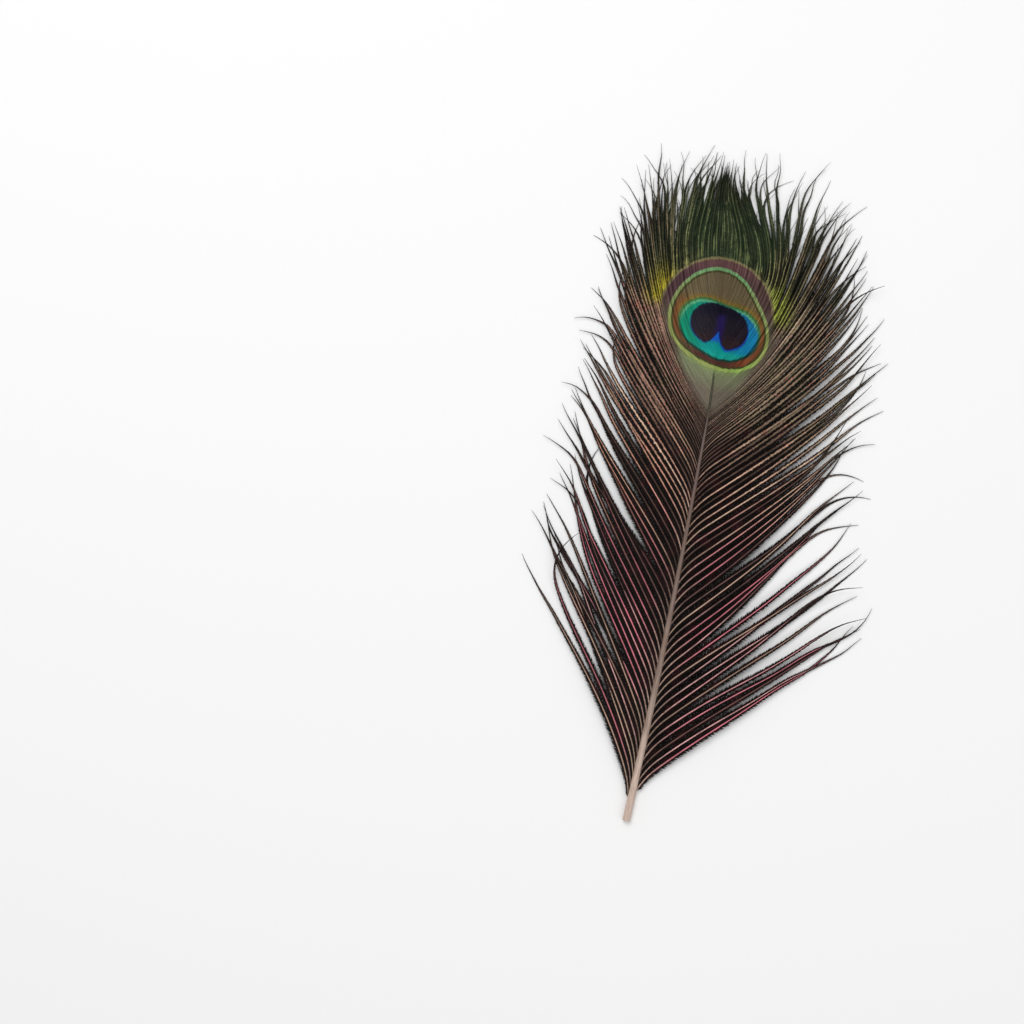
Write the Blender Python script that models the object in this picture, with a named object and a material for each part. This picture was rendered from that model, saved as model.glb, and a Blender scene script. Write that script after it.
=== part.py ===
"""A peacock's eye feather, cut to about 296 mm, lying face up on a flat surface.

The feather is three solids: the shaft, and a vane on each side of it. A vane is a thin sheet
laid out by its barbs, the long strands that leave the shaft and sweep toward the tip. Each
barb's root, length and direction come from a short table, and the sheet joins them. The
feather rests on the outer part of both vanes and on the cut end of its shaft, which arches
between them.

Lengths in the tables are millimetres. "Along" runs from the cut end to the tip, in +Y.
"""

import math
from typing import NamedTuple

import bmesh
import bpy
import numpy as np

MM = 0.001

# Driving dimensions of the shaft: (along, value) pairs.
SHAFT_LENGTH = 250
SHAFT_STATIONS = 46
SHAFT_SIDEWAYS = ((0, 0), (60, 1.9), (110, 2.7), (160, 2.7), (190, 1.7), (220, -0.8), (250, -3.7))
SHAFT_HEIGHT = ((0, 1.75), (60, 3.8), (120, 4.8), (180, 4.1), (220, 2.4), (250, 1.3))
SHAFT_WIDTH = ((0, 3.5), (60, 2.9), (120, 2.2), (180, 1.45), (205, 1.1), (250, 0.6))

# Driving dimensions of the vanes.
FIRST_BARB = 10
LAST_BARB = 249
VANE_GAP = 0.35
ROOT_THICKNESS = 1.0
RIM_THICKNESS = 0.5
RIM_STARTS = 0.55  # the share of a barb's length after which the vane lies flat
ROOT_RISE = 0.15  # how far above the shaft's middle a vane leaves it, in shaft widths
VANE_BULGE = 1.6
BULGE_NEEDS = 3  # a vane whose root is lower than this bulges less
STEPS_ALONG_BARB = 14
BARBS_BELOW_EYE = 16
BARBS_AT_EYE = 16
EYE_STARTS = 175


class Barb(NamedTuple):
    """One row of a vane's table: its root along the shaft, its length and its angles from the shaft."""

    root: float
    length: float
    root_angle: float
    middle_angle: float
    tip_angle: float


EYE_BARBS = (
    Barb(187, 109, 46, 20, 16),
    Barb(195, 100, 47, 14, 11),
    Barb(205, 91, 44, 11, 8),
    Barb(215, 81, 38, 8, 6),
    Barb(225, 71, 30, 6, 4),
    Barb(235, 61, 22, 4, 3),
    Barb(243, 53, 12, 2, 1),
    Barb(250, 46, 2, 0, 0),
)
LEFT_BARBS = (
    Barb(10, 124, 24, 36, 36),
    Barb(55, 113, 31, 32, 27),
    Barb(105, 100, 33, 38, 36),
    Barb(150, 88, 35, 41, 39),
    Barb(165, 98, 40, 38, 30),
    Barb(175, 106, 43, 32, 24),
    Barb(181, 110, 45, 26, 20),
    *EYE_BARBS,
)
RIGHT_BARBS = (
    Barb(10, 124, 38, 46, 38),
    Barb(50, 116, 40, 44, 34),
    Barb(98, 107, 43, 41, 27),
    Barb(126, 103, 45, 45, 33),
    Barb(153, 104, 46, 42, 28),
    Barb(170, 107, 46, 36, 24),
    Barb(181, 107, 46, 27, 21),
    *EYE_BARBS,
)

SHAFT_COLOUR = (0.42, 0.30, 0.20)
VANE_COLOUR = (0.055, 0.040, 0.028)


def through(pairs, at):
    """The value at a place, or at an array of places, on a smooth curve through (place, value) pairs."""
    places, values = np.array(pairs, float).T
    slopes = np.gradient(values, places)
    i = np.clip(np.searchsorted(places, at) - 1, 0, len(places) - 2)
    span = places[i + 1] - places[i]
    t = (at - places[i]) / span
    start = (1 + 2 * t) * (1 - t) ** 2 * values[i] + t * (1 - t) ** 2 * span * slopes[i]
    end = t**2 * (3 - 2 * t) * values[i + 1] + t**2 * (t - 1) * span * slopes[i + 1]
    return start + end


def shaft_heading(along):
    """The shaft's direction in plan, in radians clockwise from +Y."""
    return math.atan2(through(SHAFT_SIDEWAYS, along + 1) - through(SHAFT_SIDEWAYS, along - 1), 2)


def barb_at(rows, root):
    """The barb that grows at any root, blended from a table's rows."""
    table = np.array(rows)
    return Barb(root, *(through(table[:, (0, column)], root) for column in range(1, 5)))


def barb_line(barb, side):
    """The barb's line in plan, as an array of points. side is -1 on the left and 1 on the right."""
    middles = (np.arange(STEPS_ALONG_BARB) + 0.5) / STEPS_ALONG_BARB
    angles = through(((0, barb.root_angle), (0.5, barb.middle_angle), (1, barb.tip_angle)), middles)
    heading = shaft_heading(barb.root) + side * np.radians(angles)
    steps = np.stack([np.sin(heading), np.cos(heading)], 1) * barb.length / STEPS_ALONG_BARB
    clear = through(SHAFT_WIDTH, barb.root) / 2 + VANE_GAP
    start = np.array([through(SHAFT_SIDEWAYS, barb.root) + side * clear, barb.root])
    return start + np.concatenate([np.zeros((1, 2)), np.cumsum(steps, axis=0)])


def underside(root, share):
    """The height of a vane's underside, a share of the way from a barb's root to its tip."""
    if share >= RIM_STARTS:
        return 0.0
    middle = through(SHAFT_HEIGHT, root) + ROOT_RISE * through(SHAFT_WIDTH, root)
    root_height = middle - ROOT_THICKNESS / 2
    down = share / RIM_STARTS
    bulge = VANE_BULGE * min(1.0, root_height / BULGE_NEEDS) * math.sin(math.pi * down) ** 2
    return root_height * (1 - down * down * (3 - 2 * down)) + bulge


def thickness(share):
    """A vane's thickness, which falls evenly from its root to its rim."""
    return ROOT_THICKNESS + (RIM_THICKNESS - ROOT_THICKNESS) * share


def material(name, colour, roughness):
    """A plain material of this colour."""
    made = bpy.data.materials.new(name)
    made.use_nodes = True
    shader = made.node_tree.nodes["Principled BSDF"]
    shader.inputs["Base Color"].default_value = (*colour, 1)
    shader.inputs["Roughness"].default_value = roughness
    return made


def add(name, data, finish, parent):
    """Puts the mesh or curve in the scene as a node with this name and material."""
    data.materials.append(finish)
    node = bpy.data.objects.new(name, data)
    bpy.context.scene.collection.objects.link(node)
    node.parent = parent
    return node


def shaft_curve():
    """The shaft: a round tube along the arched centre line, thinning from the cut end to the eye."""
    curve = bpy.data.curves.new("shaft", "CURVE")
    curve.dimensions = "3D"
    curve.bevel_depth = MM / 2
    curve.bevel_resolution = 3
    curve.use_fill_caps = True
    line = curve.splines.new("POLY")
    line.points.add(SHAFT_STATIONS - 1)
    for point, along in zip(line.points, np.linspace(0, SHAFT_LENGTH, SHAFT_STATIONS)):
        place = (through(SHAFT_SIDEWAYS, along), along, through(SHAFT_HEIGHT, along))
        point.co = (*(MM * value for value in place), 1)
        point.radius = through(SHAFT_WIDTH, along)
    return curve


def vane_mesh(name, rows, side):
    """A vane: a sheet of one row of corners for each barb, pulled up from its underside to its thickness."""
    below_eye = np.linspace(FIRST_BARB, EYE_STARTS, BARBS_BELOW_EYE, endpoint=False)
    at_eye = np.linspace(EYE_STARTS, LAST_BARB, BARBS_AT_EYE)
    shares = np.arange(STEPS_ALONG_BARB + 1) / STEPS_ALONG_BARB
    sheet = bmesh.new()
    share_of = sheet.verts.layers.float.new("share")
    grid = []
    for root in (*below_eye, *at_eye):
        row = []
        for (x, y), share in zip(barb_line(barb_at(rows, root), side), shares):
            corner = sheet.verts.new((MM * x, MM * y, MM * underside(root, share)))
            corner[share_of] = share
            row.append(corner)
        grid.append(row)
    for lower, upper in zip(grid, grid[1:]):
        for j in range(STEPS_ALONG_BARB):
            sheet.faces.new((lower[j], lower[j + 1], upper[j + 1], upper[j]))
    for item in bmesh.ops.extrude_face_region(sheet, geom=sheet.faces[:])["geom"]:
        if isinstance(item, bmesh.types.BMVert):
            item.co.z += MM * thickness(item[share_of])
    bmesh.ops.triangulate(sheet, faces=sheet.faces[:])
    bmesh.ops.recalc_face_normals(sheet, faces=sheet.faces[:])
    mesh = bpy.data.meshes.new(name)
    sheet.to_mesh(mesh)
    sheet.free()
    mesh.shade_smooth()
    return mesh


def main():
    """Builds the feather, with the middle of its box, seen from above, over the origin."""
    for leftover in list(bpy.data.objects):
        bpy.data.objects.remove(leftover)
    vanes = {
        "left_vane": vane_mesh("left_vane", LEFT_BARBS, -1),
        "right_vane": vane_mesh("right_vane", RIGHT_BARBS, 1),
    }
    corners = np.array([vertex.co for mesh in vanes.values() for vertex in mesh.vertices])
    feather = bpy.data.objects.new("feather", None)
    bpy.context.scene.collection.objects.link(feather)
    feather.location.x = -(corners[:, 0].min() + corners[:, 0].max()) / 2
    feather.location.y = -corners[:, 1].max() / 2
    add("shaft", shaft_curve(), material("shaft", SHAFT_COLOUR, 0.45), feather)
    barbs = material("barbs", VANE_COLOUR, 0.5)
    for name, mesh in vanes.items():
        add(name, mesh, barbs, feather)


main()
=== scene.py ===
"""The looks of a peacock's eye feather that lies face up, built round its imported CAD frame.

The rachis is a tapered oval stem with a cut end. Its barbs come in families: loose barbs down
the stem, barbs that hook together round the eye, and barbs that fan out as the crown. Each
barb is a thin strand with a row of fine barbules on both sides. The eye's rings are painted by
place, so they run across the barbs as they do on a real feather.

Shapes are worked out in the feather's own plan, in millimetres from the middle of the cut end:
x is across the feather, y is along it toward the tip, and z is up from the floor.
"""

import logging
import math
from dataclasses import dataclass
from enum import Enum
from typing import NamedTuple

import bmesh
import bpy
import numpy as np
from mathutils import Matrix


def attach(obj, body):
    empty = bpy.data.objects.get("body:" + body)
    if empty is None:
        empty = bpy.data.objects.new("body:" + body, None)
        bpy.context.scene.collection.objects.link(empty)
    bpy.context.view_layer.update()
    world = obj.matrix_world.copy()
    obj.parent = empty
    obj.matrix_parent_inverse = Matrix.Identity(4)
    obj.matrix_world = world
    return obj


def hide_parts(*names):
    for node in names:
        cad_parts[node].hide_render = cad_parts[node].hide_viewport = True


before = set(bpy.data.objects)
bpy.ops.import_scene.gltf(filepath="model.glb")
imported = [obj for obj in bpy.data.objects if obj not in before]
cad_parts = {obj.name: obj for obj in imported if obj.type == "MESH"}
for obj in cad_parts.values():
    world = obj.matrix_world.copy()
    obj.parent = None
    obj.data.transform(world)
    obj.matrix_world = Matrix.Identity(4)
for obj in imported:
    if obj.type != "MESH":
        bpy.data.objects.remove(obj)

log = logging.getLogger("feather")

MM = 0.001
SEED = 20
FULL_TURN = 2 * math.pi

# The round edge within which the barbs hook together as the eye.
EYE_CENTRE = (-3.2, 228.0)
EYE_RADIUS = 25.4

VALUE, VECTOR, COLOUR = "NodeSocketFloat", "NodeSocketVector", "NodeSocketColor"

Pairs = tuple[tuple[float, float], ...]
Sockets = tuple[tuple[str, str], ...]
Node = bpy.types.Node
Socket = bpy.types.NodeSocket
Draws = np.random.Generator


class Side(Enum):
    """Which side of the rachis a barb leaves from."""

    LEFT = -1
    RIGHT = 1


class Barb(NamedTuple):
    """One row of a barb table: its root along the shaft, its length, and its angles from the shaft."""

    root: float
    length: float
    root_angle: float
    middle_angle: float
    tip_angle: float


BARB_TABLES: dict[Side, tuple[Barb, ...]] = {
    Side.LEFT: (
        Barb(10, 124, 24, 36, 36),
        Barb(55, 113, 31, 35, 23),
        Barb(105, 101, 34, 40, 26),
        Barb(150, 91, 36, 42, 30),
        Barb(165, 98, 40, 38, 27),
        Barb(175, 106, 43, 32, 22),
        Barb(181, 109, 45, 26, 17),
        Barb(187, 107, 46, 20, 13),
        Barb(195, 100, 47, 14, 7),
        Barb(205, 91, 44, 11, 1),
        Barb(215, 81, 38, 8, -5),
        Barb(225, 68, 30, 5, -9),
        Barb(235, 57, 22, 3, -7),
        Barb(243, 48, 12, 1, -4),
        Barb(250, 40, 2, 0, -1),
    ),
    Side.RIGHT: (
        Barb(10, 124, 38, 46, 38),
        Barb(50, 116, 40, 44, 34),
        Barb(98, 107, 43, 41, 27),
        Barb(126, 103, 45, 45, 33),
        Barb(153, 104, 46, 42, 28),
        Barb(170, 107, 46, 36, 24),
        Barb(181, 107, 46, 28, 21),
        Barb(187, 109, 46, 22, 16),
        Barb(195, 100, 47, 16, 9),
        Barb(205, 90, 44, 12, 1),
        Barb(215, 79, 38, 9, -9),
        Barb(225, 65, 30, 5, -16),
        Barb(235, 55, 22, 3, -14),
        Barb(243, 47, 12, 1, -8),
        Barb(250, 40, 2, 0, -2),
    ),
}


def through(pairs: Pairs | np.ndarray, at: np.ndarray) -> np.ndarray:
    """Follows a smooth cubic curve through (place, value) pairs.

    Args:
        pairs: The places, rising, and the value at each.
        at: The places to read.

    Returns:
        The values at those places.
    """
    places, values = np.array(pairs, float).T
    at = np.clip(np.asarray(at, float), places[0], places[-1])
    slopes = np.gradient(values, places)
    i = np.clip(np.searchsorted(places, at) - 1, 0, len(places) - 2)
    span = places[i + 1] - places[i]
    t = (at - places[i]) / span
    start = (1 + 2 * t) * (1 - t) ** 2 * values[i] + t * (1 - t) ** 2 * span * slopes[i]
    end = t**2 * (3 - 2 * t) * values[i + 1] + t**2 * (t - 1) * span * slopes[i + 1]
    return start + end


def ease(value: np.ndarray, low: float, high: float) -> np.ndarray:
    """Rises smoothly from 0 at low to 1 at high, or falls if low is above high."""
    t = np.clip((np.asarray(value, float) - low) / (high - low), 0, 1)
    return t * t * (3 - 2 * t)


def column(values: np.ndarray) -> np.ndarray:
    """Stands one value for each barb up as a column, to meet a row of spots."""
    return values[:, None]


def paint(red: int, green: int, blue: int) -> tuple[float, float, float, float]:
    """Gives an everyday 0 to 255 colour as the linear colour that a shader works in.

    Args:
        red: How much red it has.
        green: How much green.
        blue: How much blue.

    Returns:
        The linear colour, with full opacity.
    """
    parts = [c / 255 for c in (red, green, blue)]
    linear = [c / 12.92 if c <= 0.04045 else ((c + 0.055) / 1.055) ** 2.4 for c in parts]
    return (*linear, 1.0)


@dataclass(frozen=True)
class Plan:
    """Where the feather's own plan lies in the frame, in metres."""

    across: float
    along: float

    @classmethod
    def of_frame(cls) -> "Plan":
        """Finds the plan's origin at the middle of the CAD shaft's cut end.

        Returns:
            The plan.
        """
        spots = np.array([v.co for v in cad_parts["shaft"].data.vertices], float)
        end = spots[spots[:, 1] < spots[:, 1].min() + 1 * MM]
        middle = (end.min(0) + end.max(0)) / 2
        return cls(float(middle[0]), float(middle[1]))

    def place(self, spots: np.ndarray) -> np.ndarray:
        """Turns x, y and z in the plan, in millimetres, into metres in the frame."""
        return spots * MM + (self.across, self.along, 0.0)


@dataclass(frozen=True)
class Course:
    """The line that the rachis follows and its size on the way."""

    sideways: Pairs = (
        (0, 0), (60, 1.45), (110, 1.8), (160, 1.7), (190, 1.35), (220, -0.8), (250, -3.7), (285, -8.2),
    )
    height: Pairs = ((0, 1.75), (60, 3.8), (120, 4.8), (180, 4.1), (220, 2.4), (250, 1.3))
    width: Pairs = ((0, 3.5), (60, 2.75), (120, 1.95), (165, 1.4), (183, 1.0), (200, 0.8), (250, 0.5))
    length: float = 250

    def heading(self, along: np.ndarray) -> np.ndarray:
        """Gives the stem's direction in radians from straight along, positive to the right."""
        across = through(self.sideways, along + 1) - through(self.sideways, along - 1)
        return np.arctan2(across, 2)


class Graph:
    """Places nodes in a node tree and joins them."""

    def __init__(self, tree: bpy.types.NodeTree) -> None:
        """Keeps the tree that the nodes go in."""
        self.tree = tree

    def node(self, kind: str, *given: object, **settings: object) -> Node:
        """Adds one node.

        Args:
            kind: The node's Blender type.
            *given: Sockets or values for its first inputs.
            **settings: Properties to set on it.

        Returns:
            The new node.
        """
        made = self.tree.nodes.new(kind)
        for name, value in settings.items():
            setattr(made, name, value)
        for socket, value in zip(made.inputs, given):
            self.feed(socket, value)
        return made

    def feed(self, socket: Socket, value: object) -> None:
        """Joins a socket to another, or sets its value.

        Args:
            socket: The input that is fed.
            value: A socket to join it to, or a value to set.
        """
        if isinstance(value, Socket):
            self.tree.links.new(value, socket)
        else:
            socket.default_value = value

    def math(self, operation: str, *values: object) -> Socket:
        """Adds a Math node on sockets or numbers and gives its result."""
        return self.node("ShaderNodeMath", *values, operation=operation).outputs[0]

    def vector(self, operation: str, *values: object) -> Socket:
        """Adds a Vector Math node and gives its result, a number for a length."""
        made = self.node("ShaderNodeVectorMath", *values, operation=operation)
        return made.outputs["Value" if operation == "LENGTH" else "Vector"]

    def times(self, first: object, second: object) -> Socket:
        """Multiplies two masks or numbers."""
        return self.math("MULTIPLY", first, second)

    def off(self, value: object, middle: float) -> Socket:
        """Gives how far a value is from its middle, on either side."""
        return self.math("ABSOLUTE", self.math("SUBTRACT", value, middle))

    def split(self, vector: Socket) -> tuple[Socket, Socket]:
        """Gives a vector's x and y."""
        parts = self.node("ShaderNodeSeparateXYZ", vector)
        return parts.outputs["X"], parts.outputs["Y"]

    def step(
        self, value: object, low: object, high: object, at_low: float = 0.0, at_high: float = 1.0
    ) -> Socket:
        """Adds a smooth step.

        Args:
            value: What is measured.
            low: The value at which the step starts.
            high: The value at which it ends.
            at_low: The result before it.
            at_high: The result after it.

        Returns:
            The result.
        """
        made = self.node("ShaderNodeMapRange", value, low, high, at_low, at_high)
        made.interpolation_type = "SMOOTHSTEP"
        return made.outputs["Result"]

    def mix(self, share: object, first: object, second: object, blend: str = "MIX") -> Socket:
        """Adds a Mix node for colours.

        Args:
            share: How much of the second colour shows.
            first: The first colour, as a socket or as three numbers up to 255.
            second: The second, in the same way.
            blend: How the two join.

        Returns:
            The mixed colour.
        """
        made = self.node("ShaderNodeMix", data_type="RGBA", blend_type=blend)
        for index, value in ((0, share), (6, first), (7, second)):
            self.feed(made.inputs[index], paint(*value) if isinstance(value, tuple) else value)
        return made.outputs[2]

    def coats(self, base: object, *coats: tuple[object, object]) -> Socket:
        """Lays coats of colour over a base.

        Args:
            base: The first colour.
            *coats: The mask and the colour of each coat.

        Returns:
            The colour that shows.
        """
        for mask, colour in coats:
            base = self.mix(mask, base, colour)
        return base

    def noise(self, place: object, scale: float, detail: float = 2.0) -> Socket:
        """Adds a Noise texture and gives its value, about 0.3 to 0.7.

        Args:
            place: The place that is read.
            scale: How fine the pattern is.
            detail: How many finer patterns are added.

        Returns:
            The value.
        """
        made = self.node("ShaderNodeTexNoise", place)
        made.inputs["Scale"].default_value = scale
        made.inputs["Detail"].default_value = detail
        return made.outputs[0]

    def place(self, plan: Plan) -> Socket:
        """Gives the place on the object in the plan's millimetres.

        Args:
            plan: Where the plan lies.

        Returns:
            The place.
        """
        spot = self.node("ShaderNodeTexCoord").outputs["Object"]
        mapping = self.node("ShaderNodeMapping", spot, vector_type="TEXTURE")
        mapping.inputs["Location"].default_value = (plan.across, plan.along, 0.0)
        mapping.inputs["Scale"].default_value = (MM, MM, MM)
        return mapping.outputs["Vector"]


class Effect:
    """A shader node group with named sockets, made once and kept."""

    name = ""
    takes: Sockets = ()
    gives: Sockets = ()

    def wire(self, graph: Graph, given: Node, out: Node) -> None:
        """Joins the group's nodes, which are each effect's own."""
        raise NotImplementedError

    def group(self) -> bpy.types.NodeTree:
        """Gives the group, and makes it the first time.

        Returns:
            The node group.
        """
        known = bpy.data.node_groups.get(self.name)
        if known:
            return known
        tree = bpy.data.node_groups.new(self.name, "ShaderNodeTree")
        for direction, sockets in (("INPUT", self.takes), ("OUTPUT", self.gives)):
            for name, kind in sockets:
                tree.interface.new_socket(name, in_out=direction, socket_type=kind)
        graph = Graph(tree)
        self.wire(graph, graph.node("NodeGroupInput"), graph.node("NodeGroupOutput"))
        return tree

    def placed(self, graph: Graph, **values: object) -> Node:
        """Places the effect in a graph.

        Args:
            graph: Where it goes.
            **values: Its inputs by name.

        Returns:
            The group's node.
        """
        made = graph.node("ShaderNodeGroup", node_tree=self.group())
        for name, value in values.items():
            graph.feed(made.inputs[name], value)
        return made


class WavyOutline(Effect):
    """How far a place lies inside a round outline whose radius swells once, twice and three times."""

    name = "Wavy outline"
    takes = (
        ("Place", VECTOR), ("Centre", VECTOR), ("Radius", VALUE),
        *((f"{word} {count}", VALUE) for count in (1, 2, 3) for word in ("Swell", "Turn")),
    )
    gives = (("Depth", VALUE),)

    def wire(self, graph: Graph, given: Node, out: Node) -> None:
        """Adds the three swells to the radius and takes the distance from the centre away.

        Args:
            graph: The group's nodes.
            given: The node that holds the group's inputs.
            out: The node that holds its outputs.
        """
        arm = graph.vector("SUBTRACT", given.outputs["Place"], given.outputs["Centre"])
        arm = graph.vector("MULTIPLY", arm, (1, 1, 0))
        x, y = graph.split(arm)
        angle = graph.math("ARCTAN2", y, x)
        edge = given.outputs["Radius"]
        for count in (1, 2, 3):
            turn = given.outputs[f"Turn {count}"]
            turned = graph.math("SUBTRACT", graph.times(angle, float(count)), turn)
            swell = graph.times(graph.math("COSINE", turned), given.outputs[f"Swell {count}"])
            edge = graph.math("ADD", edge, swell)
        graph.feed(out.inputs["Depth"], graph.math("SUBTRACT", edge, graph.vector("LENGTH", arm)))


@dataclass(frozen=True)
class Outline:
    """One outline of the eye, in millimetres and degrees."""

    centre: tuple[float, float]
    radius: float
    swells: Pairs = ()

    def depth(self, graph: Graph, place: Socket) -> Socket:
        """Places this outline in a graph.

        Args:
            graph: Where it goes.
            place: The place that is measured.

        Returns:
            How far inside the outline the place is.
        """
        values: dict[str, object] = {"Place": place, "Centre": (*self.centre, 0.0), "Radius": self.radius}
        for count, (swell, turn) in enumerate(self.swells, 1):
            values[f"Swell {count}"] = swell
            values[f"Turn {count}"] = math.radians(turn)
        return WavyOutline().placed(graph, **values).outputs["Depth"]


class StrandGrain(Effect):
    """Fine light and dark along a barb, and from one barb to the next."""

    name = "Strand grain"
    takes = (("Place", VECTOR), ("Along", VALUE), ("Tint", VALUE), ("Strength", VALUE))
    gives = (("Brightness", VALUE), ("Speckle", VALUE))

    def wire(self, graph: Graph, given: Node, out: Node) -> None:
        """Adds a fine noise, a slow one and the barb's own tint.

        Args:
            graph: The group's nodes.
            given: The node that holds the group's inputs.
            out: The node that holds its outputs.
        """
        along, tint = given.outputs["Along"], given.outputs["Tint"]
        fine = graph.math("SUBTRACT", graph.noise(given.outputs["Place"], 1.6, 3.0), 0.5)
        run = graph.node("ShaderNodeCombineXYZ", graph.times(along, 9.0), graph.times(tint, 90.0))
        slow = graph.node("ShaderNodeTexNoise", run.outputs[0], noise_dimensions="2D")
        slow.inputs["Scale"].default_value = 1.0
        stretch = graph.math("SUBTRACT", slow.outputs[0], 0.5)
        total = graph.math("ADD", graph.times(fine, 1.5), graph.times(stretch, 1.1))
        total = graph.math("ADD", total, graph.times(graph.math("SUBTRACT", tint, 0.5), 0.6))
        brightness = graph.math("MULTIPLY_ADD", total, given.outputs["Strength"], 1.0)
        graph.feed(out.inputs["Brightness"], brightness)
        graph.feed(out.inputs["Speckle"], graph.math("ADD", fine, 0.5))


@dataclass(frozen=True)
class EyeSpot(Effect):
    """The eye: pupil, blue patch, bronze field, green ring, purple band and the green wedge below them."""

    name = "Eye spot"
    takes = (("Place", VECTOR), ("Tint", VALUE))
    gives = (("Color", COLOUR), ("Inside", VALUE), ("Band", VALUE))

    ring: Outline = Outline((-1.4, 226.0), 22.4, ((0.7, -113), (2.0, -85), (1.1, -100)))
    patch: Outline = Outline((-1.0, 221.2), 14.9, ((0.4, 52), (3.3, -25), (0.6, 85)))
    pupil: Outline = Outline((-1.1, 223.1), 11.3, ((0.2, -58), (2.0, -26)))
    band: Outline = Outline(EYE_CENTRE, EYE_RADIUS)
    ring_line: float = 1.45
    notch_tip: float = 220.6

    def wire(self, graph: Graph, given: Node, out: Node) -> None:
        """Paints from the outside in, each ring over the one before.

        Args:
            graph: The group's nodes.
            given: The node that holds the group's inputs.
            out: The node that holds its outputs.
        """
        calc, step, mix, times, off, coats = (
            graph.math, graph.step, graph.mix, graph.times, graph.off, graph.coats,
        )
        nudge = times(calc("SUBTRACT", given.outputs["Tint"], 0.5), 0.5)
        stray = graph.node("ShaderNodeCombineXYZ", 0.0, nudge)
        place = graph.vector("ADD", given.outputs["Place"], stray.outputs[0])
        x, y = graph.split(place)
        outlines = (self.band, self.ring, self.patch, self.pupil)
        band, ring, patch, pupil = (outline.depth(graph, place) for outline in outlines)

        # The wedge below the ring, and the greyish sides.
        wedge = coats(
            (106, 97, 84),
            (step(ring, -11, -2.5), (116, 122, 92)),
            (step(ring, -2.4, -0.7), (122, 136, 88)),
        )
        side = mix(step(ring, -4.5, -1.2), (88, 70, 66), (90, 82, 68))
        low = times(step(off(x, -1.0), 20.5, 11.0), step(y, 214, 206))

        # The purple band, and the thin line on its outer edge.
        purple = coats(
            (76, 52, 56),
            (step(x, -14, 10), (78, 58, 54)),
            (step(y, 243, 250), (96, 66, 66)),
        )
        top = times(step(y, 222, 236), step(band, 0.2, 1.0))
        edge_line = times(step(band, 1.15, 0.65), step(y, 224, 238))

        # The green ring, brightest below, with a dark olive line of painted shadow inside it.
        green = coats(
            (140, 150, 84),
            (step(y, 216, 232), (128, 142, 88)),
            (step(y, 236, 246), (110, 152, 102)),
            (times(step(x, -4, 12), step(y, 214, 206)), (146, 176, 88)),
        )
        olive_shadow_line = step(ring, self.ring_line - 0.25, self.ring_line + 0.2)

        # The bronze field, redder at the sides and darkest below.
        field = coats(
            (98, 86, 62),
            (step(y, 238, 230), (102, 86, 52)),
            (times(step(off(x, -1.3), 13.0, 18.0), step(y, 237, 229)), (114, 70, 40)),
            (step(y, 216, 209), mix(step(x, 4, 14), (78, 43, 36), (124, 65, 38))),
            (times(step(patch, -3.6, -0.6), step(y, 222, 230)), (120, 96, 38)),
        )

        # The blue-green patch, dark-edged below and with a light line above.
        teal = coats(
            (0, 128, 98),
            (step(x, -14, -3), (0, 138, 134)),
            (step(x, 0, 14), (8, 116, 158)),
            (times(step(x, 4, 12), step(y, 220, 230)), (14, 92, 142)),
            (step(y, 213.5, 210.5), (14, 148, 136)),
            (times(step(patch, 2.0, 0.9), step(y, 222, 228)), (84, 158, 116)),
        )
        rim = mix(step(y, 216, 224), (22, 54, 44), (58, 104, 58))

        # The pupil, two dark lobes parted by a notch of blue from below.
        reach = calc("SUBTRACT", self.notch_tip, y)
        sunk = calc("MAXIMUM", reach, 0.0)
        below_tip = times(sunk, calc("MULTIPLY_ADD", sunk, 0.05, 0.26))
        above_tip = times(calc("MAXIMUM", times(reach, -1.0), 0.0), 1.5)
        off_middle = calc("ABSOLUTE", calc("ADD", calc("MULTIPLY_ADD", sunk, 0.18, 0.7), x))
        beside = calc("SUBTRACT", off_middle, below_tip)
        lobes = calc("SMOOTH_MIN", pupil, calc("ADD", beside, above_tip), 3.4)
        rightward = step(x, -7, 3)
        notch = times(step(off_middle, 3.0, 1.2), step(off(y, 218.6), 4.0, 1.4))
        violet = coats(
            (6, 92, 120),
            (rightward, (14, 70, 158)),
            (step(y, 224, 228), (6, 56, 66)),
            (notch, (18, 84, 176)),
        )
        spill = calc("SUBTRACT", -0.5, times(step(y, 222, 214), times(rightward, 0.9)))
        smudge = times(step(off(x, -0.5), 3.0, 0.3), step(y, 230, 226))
        dark = coats(
            (26, 20, 32),
            (step(y, 224, 230), (8, 6, 25)),
            (times(step(y, 222, 215), 0.8), (46, 27, 27)),
            (times(smudge, 0.8), (34, 20, 84)),
            (times(step(lobes, 1.0, 0.2), step(y, 226, 219)), (18, 22, 72)),
        )

        colour = coats(
            side,
            (low, wedge),
            (top, purple),
            (edge_line, (122, 112, 78)),
            (step(ring, -0.25, 0.2), green),
            (olive_shadow_line, (62, 62, 30)),
            (step(ring, self.ring_line + 0.45, self.ring_line + 1.3), field),
            (step(patch, -1.15, -0.35), rim),
            (step(patch, 0.0, 0.9), teal),
            (calc("MAXIMUM", step(lobes, spill, 0.0), notch), violet),
            (step(lobes, -0.05, 0.35), dark),
        )
        graph.feed(out.inputs["Color"], colour)
        graph.feed(out.inputs["Inside"], step(ring, -0.3, 0.3))
        graph.feed(out.inputs["Band"], step(band, -0.45, 0.05))


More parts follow.
